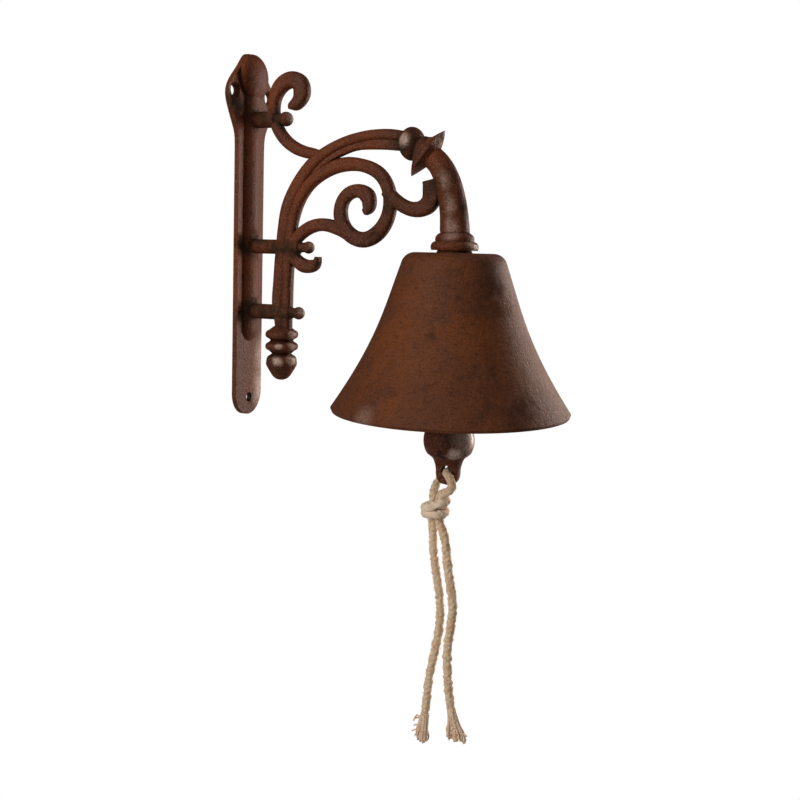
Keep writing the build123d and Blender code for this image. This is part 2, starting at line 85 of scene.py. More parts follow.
@dataclass(frozen=True)
class IronFinish:
    """Rust brown cast iron.

    Attributes:
        warm: The orange brown of the thin rust.
        middle: The even brown that covers most of the casting.
        dark: The nearly black brown of the thick skin, also used for the dirt and painted shade in
            recesses.
        rubbed: The paler pinkish brown where the skin is rubbed, which also paints the highlight
            spots.
        stain: The bluish black of old stains, also laid on the soot and painted shadow spots.
        grain_size: Size of the sand grain in metres.
        grain_depth: Height of the sand grain in metres.
        roughness: Roughness of the skin.
        rub: How far the edges are rubbed, from 0 to 1.
        thickness: How strongly the soot and painted shadow spots show, from 0 to 1.
        gloss: How strongly the skin mirrors, from 0 to 1.
        lines: How clearly the level lines of the mould show, from 0 to 1.
        gleam_roughness: Roughness of the polish on worn spots.
        soot_and_shadow: Middle and radius in metres of each dark spot: soot where the thick black
            skin has stayed, painted shadows of the bars on the plate, and painted shade in the dark
            band between the lamps.
        worn_and_highlight: Middle and radius in metres of each pale spot: painted highlights on the
            lamp-facing sides of round parts, and rubbed wear.
    """

    warm: Colour
    middle: Colour
    dark: Colour
    rubbed: Colour
    stain: Colour
    grain_size: float
    grain_depth: float
    roughness: float
    rub: float
    thickness: float
    gloss: float
    lines: float = 0.0
    gleam_roughness: float = 0.3
    soot_and_shadow: tuple[Spot, ...] = ()
    worn_and_highlight: tuple[Spot, ...] = ()


@dataclass(frozen=True)
class SteelFinish:
    """Dull steel of the hidden fixings.

    Attributes:
        base: Colour of the clean steel.
        stain: Colour of the rust on it.
        roughness: Roughness of the clean steel.
        rust_roughness: How much rougher the rust is.
    """

    base: Colour
    stain: Colour
    roughness: float
    rust_roughness: float


@dataclass(frozen=True)
class CottonFinish:
    """Unbleached twisted cotton.

    Attributes:
        lit: Colour of the outer yarn.
        shade: Painted shade between the strands.
        speck: Colour of the darker flecks.
        aged: Pinkish brown of the handled stretches.
        speck_share: How strongly the flecks show, from 0 to 1.
        aged_share: How strongly the handled stretches show, from 0 to 1.
        yarn_depth: Height of the fine yarn in metres.
        roughness: Roughness of the yarn.
        gloss: How strongly the yarn mirrors, from 0 to 1.
        sheen: Weight of the soft shine of its fibres.
        sheen_roughness: Roughness of that shine.
    """

    lit: Colour
    shade: Colour
    speck: Colour
    aged: Colour
    speck_share: float = 0.55
    aged_share: float = 0.6
    yarn_depth: float = 0.0006
    roughness: float = 0.9
    gloss: float = 0.2
    sheen: float = 0.25
    sheen_roughness: float = 0.5


@dataclass(frozen=True)
class Pattern:
    """A cloudy pattern that a finish reads its patches from.

    Attributes:
        scale: Features per metre.
        detail: Number of octaves.
        roughness: Share of each finer octave.
        shift: Where the pattern starts in metres, so that no two patterns fall together.
        stretch: How much closer together its features are along each axis.
    """

    scale: float
    detail: float
    roughness: float
    shift: Point
    stretch: Point = (1.0, 1.0, 1.0)


# Iron
CLOUD = Pattern(24.0, 5.0, 0.62, (0.11, 0.37, 0.23))
STREAK = Pattern(75.0, 6.0, 0.7, (0.4, 0.1, 0.9))
STAINS = Pattern(34.0, 7.0, 0.66, (0.9, 0.5, 0.3))
FLECK = Pattern(1250.0, 3.0, 0.7, (0.2, 0.8, 0.1))
MOULD_LINES = Pattern(260.0, 4.0, 0.75, (0.5, 0.2, 0.6), stretch=(1.0, 1.0, 4.0))
RAGGED = Pattern(120.0, 4.0, 0.7, (0.2, 0.6, 0.8))
FINE_GRAIN = Pattern(900.0, 4.0, 0.66, (0.0, 0.0, 0.0))
COARSE_GRAIN = Pattern(240.0, 2.0, 0.5, (0.31, 0.12, 0.05))
PITS = Pattern(430.0, 1.0, 0.5, (0.7, 0.2, 0.4))

# Steel
RUST_BLOOM = Pattern(260.0, 4.0, 0.65, (0.5, 0.3, 0.2))

# Cotton
YARN = Pattern(2200.0, 4.0, 0.7, (0.1, 0.2, 0.3))
HANDLED = Pattern(190.0, 4.0, 0.65, (0.6, 0.1, 0.5))
FIBRE = Pattern(1150.0, 3.0, 0.7, (0.3, 0.7, 0.2))
BLOTCH = Pattern(640.0, 2.0, 0.6, (0.8, 0.4, 0.9))


@dataclass(frozen=True)
class SkinBalance:
    """How the layers of the iron's skin lie on each other. Shares go from 0 to 1.

    Attributes:
        streaks: Share of the dark streaks of thick skin.
        stains: Share of the bluish black stains.
        specks: Share of the dark specks.
        dust: Share of the pale specks.
        recess: Share of the dirt and painted shade in recesses.
        bare_and_highlight: Share of the pale colour in the worn and painted highlight spots.
        gleam: Share of the polish on the pale worn and painted highlight spots.
        recess_reach: How far off a wall still darkens a recess, in metres.
        edge_reach: How far in from an edge it is rubbed, in metres.
        cloud_roughness: How much rougher the clouds are at most.
        cloud_mean: What that adds on average.
        soot_and_shadow_roughness: How much rougher the soot and painted shadow spots are.
        bare_and_highlight_roughness: How much rougher the rubbed edges and the worn and painted
            highlight spots are.
        soot_and_shadow_ragged: How far the outlines of the soot and painted shadow spots wander, in
            metres.
        worn_and_highlight_ragged: How far the outlines of the worn and painted highlight spots
            wander, in metres.
        coarse: Height of the coarse grain, as a share of the fine grain's.
    """

    streaks: float = 0.6
    stains: float = 0.6
    specks: float = 0.62
    dust: float = 0.22
    recess: float = 0.95
    bare_and_highlight: float = 0.9
    gleam: float = 0.5
    recess_reach: float = 0.008
    edge_reach: float = 0.0017
    cloud_roughness: float = 0.25
    cloud_mean: float = 0.12
    soot_and_shadow_roughness: float = 0.4
    bare_and_highlight_roughness: float = -0.12
    soot_and_shadow_ragged: float = 0.022
    worn_and_highlight_ragged: float = 0.006
    coarse: float = 0.9


class ShaderKit:
    """Node groups and small helpers that the finishes share."""

    # A spot fades from its rim, outside its radius, to its core, as shares of that radius
    SPOT_RIM = 1.25
    SPOT_CORE = 0.25
    OPENNESS_SAMPLES = 8

    def __init__(self) -> None:
        """Builds the shared groups once."""
        self.balance = SkinBalance()
        self.sand_grain = self._sand_grain_group()
        self.iron_skin = self._iron_skin_group()

    @staticmethod
    def new_group(
        name: str, inputs: list[tuple[str, str, object]], outputs: list[tuple[str, str]]
    ) -> tuple[Tree, Node, Node]:
        """Makes an empty shader group with its sockets.

        Args:
            name: Name of the group.
            inputs: Name, socket type and default of each input.
            outputs: Name and socket type of each output.

        Returns:
            The group, its input node and its output node.
        """
        group = bpy.data.node_groups.new(name, "ShaderNodeTree")
        for label, kind, default in inputs:
            socket = group.interface.new_socket(label, in_out="INPUT", socket_type=kind)
            socket.default_value = default
        for label, kind in outputs:
            group.interface.new_socket(label, in_out="OUTPUT", socket_type=kind)
        return group, group.nodes.new("NodeGroupInput"), group.nodes.new("NodeGroupOutput")

    @staticmethod
    def feed(tree: Tree, target: Socket, value: Socket | Colour | float) -> None:
        """Links a socket to an input, or sets the input to a colour or a number.

        Args:
            tree: The node tree.
            target: The input.
            value: What it gets.
        """
        if isinstance(value, Socket):
            tree.links.new(value, target)
        elif isinstance(value, tuple):
            target.default_value = (*value, 1.0)
        else:
            target.default_value = value

    @staticmethod
    def noise(tree: Tree, pattern: Pattern) -> Node:
        """Adds a noise texture on Object coordinates.

        Args:
            tree: The node tree.
            pattern: Its scale, detail and place.

        Returns:
            The noise node.
        """
        coordinates = tree.nodes.new("ShaderNodeTexCoord")
        mapping = tree.nodes.new("ShaderNodeMapping")
        mapping.inputs["Location"].default_value = pattern.shift
        mapping.inputs["Scale"].default_value = pattern.stretch
        texture = tree.nodes.new("ShaderNodeTexNoise")
        texture.inputs["Scale"].default_value = pattern.scale
        texture.inputs["Detail"].default_value = pattern.detail
        texture.inputs["Roughness"].default_value = pattern.roughness
        tree.links.new(coordinates.outputs["Object"], mapping.inputs["Vector"])
        tree.links.new(mapping.outputs["Vector"], texture.inputs["Vector"])
        return texture

    @staticmethod
    def ramp(tree: Tree, source: Socket, low: float, high: float) -> Socket:
        """Stretches a value smoothly between two limits to the span from 0 to 1.

        Args:
            tree: The node tree.
            source: The value.
            low: Value that becomes 0.
            high: Value that becomes 1. It may be the smaller of the two.

        Returns:
            The stretched value.
        """
        node = tree.nodes.new("ShaderNodeMapRange")
        node.interpolation_type = "SMOOTHSTEP"
        node.inputs["From Min"].default_value = low
        node.inputs["From Max"].default_value = high
        tree.links.new(source, node.inputs["Value"])
        return node.outputs["Result"]

    def patches(self, tree: Tree, texture: Node, low: float, high: float) -> Socket:
        """Turns a texture's or an attribute's value to patches: 0 at low and 1 at high."""
        return self.ramp(tree, texture.outputs["Fac"], low, high)

    @staticmethod
    def maths(tree: Tree, kind: str, *values: Socket | float) -> Socket:
        """Adds a Math node.

        Args:
            tree: The node tree.
            kind: Name of the operation.
            values: The sockets or numbers that it works on, in order.

        Returns:
            The result.
        """
        node = tree.nodes.new("ShaderNodeMath")
        node.operation = kind
        for target, value in zip(node.inputs, values):
            ShaderKit.feed(tree, target, value)
        return node.outputs["Value"]

    @staticmethod
    def mix(
        tree: Tree, share: Socket | float, under: Socket | Colour, over: Socket | Colour
    ) -> Socket:
        """Mixes two colours.

        Args:
            tree: The node tree.
            share: How much of the second colour there is.
            under: First colour.
            over: Second colour.

        Returns:
            The mixed colour.
        """
        node = tree.nodes.new("ShaderNodeMix")
        node.data_type = "RGBA"
        for index, value in ((MIX_SHARE, share), (MIX_UNDER, under), (MIX_OVER, over)):
            ShaderKit.feed(tree, node.inputs[index], value)
        return node.outputs[MIX_RESULT]

    def layer(
        self,
        tree: Tree,
        under: Socket | Colour,
        over: Socket | Colour,
        mask: Socket,
        strength: Socket | float,
    ) -> Socket:
        """Lays one colour over another.

        Args:
            tree: The node tree.
            under: Colour below.
            over: Colour on top.
            mask: Where the top colour lies.
            strength: How much of it shows there.

        Returns:
            The colour of both.
        """
        return self.mix(tree, self.maths(tree, "MULTIPLY", mask, strength), under, over)

    @staticmethod
    def relief(tree: Tree, height: Socket, depth: float, shader: Node) -> None:
        """Gives a shader's surface a relief.

        Args:
            tree: The node tree.
            height: The height, from 0 to about 1.
            depth: Height of 1 in metres.
            shader: The shader.
        """
        bump = tree.nodes.new("ShaderNodeBump")
        bump.inputs["Strength"].default_value = 1.0
        bump.inputs["Distance"].default_value = depth
        tree.links.new(height, bump.inputs["Height"])
        tree.links.new(bump.outputs["Normal"], shader.inputs["Normal"])

    def openness(self, tree: Tree, distance: float, inside: bool) -> Socket:
        """Measures how open the surface is, outward for recesses or inward for edges.

        Args:
            tree: The node tree.
            distance: How far it looks, in metres.
            inside: Whether it looks into the piece, which finds edges.

        Returns:
            A value that is 1 where the surface is open and lower in recesses or at edges.
        """
        node = tree.nodes.new("ShaderNodeAmbientOcclusion")
        node.samples = self.OPENNESS_SAMPLES
        node.inside = inside
        node.only_local = True
        node.inputs["Distance"].default_value = distance
        return node.outputs["AO"]

    def _sand_grain_group(self) -> Tree:
        """Builds the height of a sand cast surface.

        Returns:
            The group, which puts out a height from 0 to about 2.
        """
        group, source, sink = self.new_group(
            "sand grain",
            [("Grain Scale", "NodeSocketFloat", 700.0), ("Pits", "NodeSocketFloat", 0.4)],
            [("Height", "NodeSocketFloat")],
        )
        fine, coarse, pits = (self.noise(group, p) for p in (FINE_GRAIN, COARSE_GRAIN, PITS))
        group.links.new(source.outputs["Grain Scale"], fine.inputs["Scale"])
        grains = self.maths(
            group,
            "MULTIPLY_ADD",
            coarse.outputs["Fac"],
            self.balance.coarse,
            fine.outputs["Fac"],
        )
        pitted = self.patches(group, pits, low=0.60, high=0.74)
        depth = self.maths(group, "MULTIPLY", pitted, source.outputs["Pits"])
        group.links.new(self.maths(group, "SUBTRACT", grains, depth), sink.inputs["Height"])
        return group

    def _iron_skin_group(self) -> Tree:
        """Builds the cloudy browns of rusted iron, darker in recesses with dirt and painted shade,
        and rubbed at edges.

        Returns:
            The group, which puts out a colour, a roughness and how much the worn and painted
            highlight spots gleam.
        """
        group, source, sink = self.new_group(
            "iron skin",
            [
                ("Warm", "NodeSocketColor", (0.2, 0.08, 0.03, 1.0)),
                ("Middle", "NodeSocketColor", (0.13, 0.055, 0.035, 1.0)),
                ("Dark", "NodeSocketColor", (0.03, 0.015, 0.012, 1.0)),
                ("Rubbed And Highlight", "NodeSocketColor", (0.3, 0.2, 0.16, 1.0)),
                ("Stain", "NodeSocketColor", (0.03, 0.03, 0.035, 1.0)),
                ("Rub", "NodeSocketFloat", 0.5),
                ("Roughness", "NodeSocketFloat", 0.5),
                ("Soot And Shadow", "NodeSocketFloat", 0.0),
                ("Thickness", "NodeSocketFloat", 0.8),
                ("Worn And Highlight", "NodeSocketFloat", 0.0),
                ("Lines", "NodeSocketFloat", 0.0),
            ],
            [
                ("Colour", "NodeSocketColor"),
                ("Roughness", "NodeSocketFloat"),
                ("Gleam", "NodeSocketFloat"),
            ],
        )
        given = source.outputs
        show = self.balance
        cloud, streak, stains, fleck, level = (
            self.noise(group, p) for p in (CLOUD, STREAK, STAINS, FLECK, MOULD_LINES)
        )
        # Recesses get dirt and painted shade
        hollow = self.openness(group, show.recess_reach, inside=False)
        recess = self.ramp(group, hollow, low=0.90, high=0.40)
        spot_breakup = self.patches(group, streak, low=0.34, high=0.56)
        # Dark spots: soot, and painted shadows and shade
        kept = self.maths(group, "MULTIPLY", given["Soot And Shadow"], spot_breakup)
        warm = self.patches(group, cloud, low=0.38, high=0.64)
        colour = self.mix(group, warm, given["Middle"], given["Warm"])
        for over, mask, strength in (
            ("Dark", self.patches(group, streak, low=0.50, high=0.76), show.streaks),
            ("Stain", self.patches(group, stains, low=0.58, high=0.74), show.stains),
            ("Dark", self.patches(group, fleck, low=0.50, high=0.30), show.specks),
            ("Rubbed And Highlight", self.patches(group, fleck, low=0.52, high=0.72), show.dust),
            ("Dark", self.patches(group, level, low=0.52, high=0.66), given["Lines"]),
            ("Dark", recess, show.recess),
            ("Stain", kept, given["Thickness"]),
        ):
            colour = self.layer(group, colour, given[over], mask, strength)
        rim = self.openness(group, show.edge_reach, inside=True)
        edge = self.ramp(group, rim, low=0.62, high=0.30)
        chipped = self.patches(group, streak, low=0.36, high=0.58)
        broken = self.maths(group, "MULTIPLY", edge, chipped)
        free = self.maths(group, "SUBTRACT", 1.0, kept)
        open_edge = self.maths(group, "MULTIPLY", broken, free)
        rubbed = self.maths(group, "MULTIPLY", open_edge, given["Rub"])
        specked = self.patches(group, fleck, low=0.26, high=0.56)
        # Pale spots: painted highlights on the lamp-facing sides of round parts, and rubbed wear
        patchy = self.maths(group, "MULTIPLY", given["Worn And Highlight"], specked)
        worn_and_highlight = self.maths(group, "MULTIPLY", patchy, show.bare_and_highlight)
        bare_and_highlight = self.maths(group, "MAXIMUM", rubbed, worn_and_highlight)
        rough = self.maths(group, "SUBTRACT", given["Roughness"], show.cloud_mean)
        for mask, strength in (
            (cloud.outputs["Fac"], show.cloud_roughness),
            (kept, show.soot_and_shadow_roughness),
            (bare_and_highlight, show.bare_and_highlight_roughness),
        ):
            rough = self.maths(group, "MULTIPLY_ADD", mask, strength, rough)
        gleam = self.maths(group, "MULTIPLY", patchy, show.gleam)
        # The pale colour goes on rubbed edges and on the spots, which are mostly painted highlights
        colour = self.mix(group, bare_and_highlight, colour, given["Rubbed And Highlight"])
        for label, value in (("Colour", colour), ("Roughness", rough), ("Gleam", gleam)):
            group.links.new(value, sink.inputs[label])
        return group

    def spots(self, tree: Tree, places: tuple[Spot, ...], ragged_by: float) -> Socket:
        """Adds a soft mask round some places on a piece.

        Args:
            tree: The node tree.
            places: Middle and radius of each spot, in metres. There is at least one.
            ragged_by: How far the spots' outlines wander, in metres.

        Returns:
            The mask.
        """
        coordinates = tree.nodes.new("ShaderNodeTexCoord")
        ragged = self.noise(tree, RAGGED)
        shift = tree.nodes.new("ShaderNodeVectorMath")
        shift.operation = "MULTIPLY_ADD"
        shift.inputs[1].default_value = (ragged_by, ragged_by, ragged_by)
        tree.links.new(ragged.outputs["Color"], shift.inputs[0])
        tree.links.new(coordinates.outputs["Object"], shift.inputs[2])
        mask = None
        for middle, radius in places:
            reach = tree.nodes.new("ShaderNodeVectorMath")
            reach.operation = "DISTANCE"
            reach.inputs[1].default_value = tuple(v + ragged_by / 2 for v in middle)
            tree.links.new(shift.outputs["Vector"], reach.inputs[0])
            rim, core = radius * self.SPOT_RIM, radius * self.SPOT_CORE
            spot = self.ramp(tree, reach.outputs["Value"], rim, core)
            mask = spot if mask is None else self.maths(tree, "MAXIMUM", mask, spot)
        return mask

    def place(
        self, tree: Tree, group: Tree, values: dict[str, Socket | Colour | float]
    ) -> Node:
        """Places a group in a material with its own values.

        Args:
            tree: The material's node tree.
            group: The group.
            values: Value of each named input.

        Returns:
            The group node.
        """
        node = tree.nodes.new("ShaderNodeGroup")
        node.node_tree = group
        for label, value in values.items():
            self.feed(tree, node.inputs[label], value)
        return node

    @staticmethod
    def blank(name: str) -> tuple[Material, Tree, Node]:
        """Makes a material that holds a Principled shader.

        Args:
            name: Name of the material.

        Returns:
            The material, its node tree and its shader node.
        """
        material = bpy.data.materials.new(name)
        material.use_nodes = True
        tree = material.node_tree
        return material, tree, tree.nodes["Principled BSDF"]


@dataclass(frozen=True)
class Finishes:
    """Makes the object's materials from their finishes.

    Attributes:
        kit: The shared shader groups.
    """

    kit: ShaderKit

    def iron(self, name: str, finish: IronFinish) -> Material:
        """Makes a cast iron material.

        Args:
            name: Name of the material.
            finish: Its colours and sizes.

        Returns:
            The material.
        """
        kit = self.kit
        material, tree, shader = kit.blank(name)
        values = {
            "Warm": finish.warm,
            "Middle": finish.middle,
            "Dark": finish.dark,
            "Rubbed And Highlight": finish.rubbed,
            "Stain": finish.stain,
            "Rub": finish.rub,
            "Roughness": finish.roughness,
            "Thickness": finish.thickness,
            "Lines": finish.lines,
        }
        if finish.soot_and_shadow:
            values["Soot And Shadow"] = kit.spots(tree, finish.soot_and_shadow, kit.balance.soot_and_shadow_ragged)
        if finish.worn_and_highlight:
            values["Worn And Highlight"] = kit.spots(tree, finish.worn_and_highlight, kit.balance.worn_and_highlight_ragged)
        skin = kit.place(tree, kit.iron_skin, values)
        grain = kit.place(tree, kit.sand_grain, {"Grain Scale": 1.0 / finish.grain_size})
        kit.relief(tree, grain.outputs["Height"], finish.grain_depth, shader)
        tree.links.new(skin.outputs["Colour"], shader.inputs["Base Color"])
        tree.links.new(skin.outputs["Roughness"], shader.inputs["Roughness"])
        tree.links.new(skin.outputs["Gleam"], shader.inputs["Coat Weight"])
        shader.inputs["Coat Roughness"].default_value = finish.gleam_roughness
        shader.inputs["Specular IOR Level"].default_value = finish.gloss
        return material

    def steel(self, name: str, finish: SteelFinish) -> Material:
        """Makes a dull steel material.

        Args:
            name: Name of the material.
            finish: Its colours.

        Returns:
            The material.
        """
        kit = self.kit
        material, tree, shader = kit.blank(name)
        rust = kit.patches(tree, kit.noise(tree, RUST_BLOOM), low=0.45, high=0.68)
        colour = kit.mix(tree, rust, finish.base, finish.stain)
        rough = kit.maths(tree, "MULTIPLY_ADD", rust, finish.rust_roughness, finish.roughness)
        tree.links.new(colour, shader.inputs["Base Color"])
        tree.links.new(rough, shader.inputs["Roughness"])
        tree.links.new(kit.maths(tree, "SUBTRACT", 1.0, rust), shader.inputs["Metallic"])
        return material

    def cotton(self, name: str, finish: CottonFinish) -> Material:
        """Makes a cotton cord material that reads the lay of the cord's strands.

        Args:
            name: Name of the material.
            finish: Its colours.

        Returns:
            The material.
        """
        kit = self.kit
        material, tree, shader = kit.blank(name)
        lay = tree.nodes.new("ShaderNodeAttribute")
        lay.attribute_name = LAY_ATTRIBUTE
        yarn, handled, fibre, blotch = (
            kit.noise(tree, p) for p in (YARN, HANDLED, FIBRE, BLOTCH)
        )
        # The strands' crowns get the lit colour and the grooves between them painted shade
        crown = kit.patches(tree, lay, low=0.0, high=0.55)
        colour = kit.mix(tree, crown, finish.shade, finish.lit)
        fibres = kit.patches(tree, fibre, low=0.52, high=0.68)
        blotches = kit.patches(tree, blotch, low=0.54, high=0.64)
        specks = kit.maths(tree, "MAXIMUM", fibres, blotches)
        colour = kit.layer(tree, colour, finish.speck, specks, finish.speck_share)
        soiled = kit.patches(tree, handled, low=0.44, high=0.62)
        colour = kit.layer(tree, colour, finish.aged, soiled, finish.aged_share)
        tree.links.new(colour, shader.inputs["Base Color"])
        kit.relief(tree, yarn.outputs["Fac"], finish.yarn_depth, shader)
        shader.inputs["Roughness"].default_value = finish.roughness
        shader.inputs["Specular IOR Level"].default_value = finish.gloss
        shader.inputs["Sheen Weight"].default_value = finish.sheen
        shader.inputs["Sheen Roughness"].default_value = finish.sheen_roughness
        return material


@dataclass(frozen=True)
class Lamp:
    """A soft area lamp.

    Attributes:
        name: Its name.
        place: Where it stands, in metres.
        size: Its width and height in metres.
        watts: Its power.
        colour: The colour of its light.
    """

    name: str
    place: Point
    size: tuple[float, float]
    watts: float
    colour: Colour


@dataclass
class Studio:
    """The camera, the lamps and the pale floor.

    Attributes:
        lens_mm: Focal length.
        sensor_mm: Width of the sensor.
        camera_place: Where the camera stands, in metres.
        camera_turn_deg: How far it is turned towards the wall, from a line along it.
        camera_pitch_deg: How far it looks up, which is down where it is negative.
        camera_roll_deg: How far it leans.
        shift_y: How far its view is shifted up, as a share of the sensor's width.
        nearest: Nearest distance that it sees, in metres.
        aim: The point that the lamps face.
        lamps: A broad lamp at the left, one at the far right that grazes, and a weak top one.
        world_strength: Strength of the grey light from all round.
        floor_grey: Grey of the floor that the object sees.
        floor_x: Middle of the floor, out from the wall.
        floor_z: Height of the floor, well below the cord.
        floor_radius: Radius of the floor in metres.
        floor_sides: Number of its sides.
    """

    lens_mm: float = 45.135
    sensor_mm: float = 36.0
    camera_place: Point = (0.304, -0.468, 0.0)
    camera_turn_deg: float = 24.2
    camera_pitch_deg: float = -4.4
    camera_roll_deg: float = 1.4
    shift_y: float = -0.09125
    nearest: float = 0.01
    aim: Point = (0.10, 0.0, -0.02)
    lamps: tuple[Lamp, ...] = (
        Lamp("left softbox", (-0.42, -1.22, 0.42), (0.7, 1.0), 14.0, (1.0, 0.97, 0.92)),
        Lamp("right softbox", (0.72, 1.15, 0.0), (0.45, 1.1), 22.0, (1.0, 0.84, 0.74)),
        Lamp("top softbox", (0.45, -0.2, 1.4), (0.8, 0.8), 3.0, (1.0, 1.0, 1.0)),
    )
    world_strength: float = 0.07
    floor_grey: float = 0.4
    floor_x: float = 0.1
    floor_z: float = -0.42
    floor_radius: float = 3.0
    floor_sides: int = 96

    def build_camera(self) -> None:
        """Makes the camera at the viewing angle."""
        turn, pitch, roll = (
            math.radians(angle)
            for angle in (self.camera_turn_deg, self.camera_pitch_deg, self.camera_roll_deg)
        )
        forward = Vector(
            (-math.sin(turn) * math.cos(pitch), math.cos(turn) * math.cos(pitch), math.sin(pitch))
        )
        level_right = Vector((math.cos(turn), math.sin(turn), 0.0))
        level_up = level_right.cross(forward)
        right = level_right * math.cos(roll) + level_up * math.sin(roll)
        up = level_up * math.cos(roll) - level_right * math.sin(roll)
        data = bpy.data.cameras.new("camera")
        data.lens = self.lens_mm
        data.sensor_width = self.sensor_mm
        data.shift_y = self.shift_y
        data.clip_start = self.nearest
        camera = bpy.data.objects.new("camera", data)
        axes = Matrix((right, up, -forward)).transposed()
        camera.matrix_world = Matrix.Translation(self.camera_place) @ axes.to_4x4()
        bpy.context.scene.collection.objects.link(camera)
        bpy.context.scene.camera = camera

    def build_lamps(self) -> None:
        """Makes the lamps."""
        for lamp in self.lamps:
            data = bpy.data.lights.new(lamp.name, "AREA")
            data.shape = "RECTANGLE"
            data.size, data.size_y = lamp.size
            data.energy = lamp.watts
            data.color = lamp.colour
            holder = bpy.data.objects.new(lamp.name, data)
            holder.location = lamp.place
            facing = (Vector(self.aim) - Vector(lamp.place)).to_track_quat("-Z", "Y")
            holder.rotation_euler = facing.to_euler()
            bpy.context.scene.collection.objects.link(holder)

    @staticmethod
    def _white_to_camera(tree: Tree, plain: Socket, white_kind: str, output_kind: str) -> None:
        """Shows the camera white and the object something plainer.

        Args:
            tree: The node tree.
            plain: The shader that the object sees.
            white_kind: Kind of node that shines white at its default strength of 1.
            output_kind: Kind of the output node.
        """
        path = tree.nodes.new("ShaderNodeLightPath")
        white = tree.nodes.new(white_kind)
        white.inputs["Color"].default_value = WHITE
        choice = tree.nodes.new("ShaderNodeMixShader")
        output = tree.nodes.new(output_kind)
        tree.links.new(path.outputs["Is Camera Ray"], choice.inputs["Fac"])
        tree.links.new(plain, choice.inputs[1])
        tree.links.new(white.outputs[0], choice.inputs[2])
        tree.links.new(choice.outputs["Shader"], output.inputs["Surface"])

    def build_world(self) -> None:
        """Makes a world that is white to the camera and a plain grey light to the object."""
        world = bpy.data.worlds.new("studio")
        bpy.context.scene.world = world
        world.use_nodes = True
        tree = world.node_tree
        tree.nodes.clear()
        dim = tree.nodes.new("ShaderNodeBackground")
        dim.inputs["Color"].default_value = WHITE
        dim.inputs["Strength"].default_value = self.world_strength
        self._white_to_camera(
            tree, dim.outputs["Background"], "ShaderNodeBackground", "ShaderNodeOutputWorld"
        )

    def build_floor(self) -> None:
        """Makes the pale floor."""
        bpy.ops.mesh.primitive_circle_add(
            vertices=self.floor_sides,
            radius=self.floor_radius,
            fill_type="NGON",
            location=(self.floor_x, 0.0, self.floor_z),
        )
        floor = bpy.context.object
        floor.name = "floor"
        material = bpy.data.materials.new("pale floor")
        material.use_nodes = True
        tree = material.node_tree
        tree.nodes.clear()
        matt = tree.nodes.new("ShaderNodeBsdfDiffuse")
        matt.inputs["Color"].default_value = (*[self.floor_grey] * 3, 1.0)
        self._white_to_camera(
            tree, matt.outputs["BSDF"], "ShaderNodeEmission", "ShaderNodeOutputMaterial"
        )
        floor.data.materials.append(material)


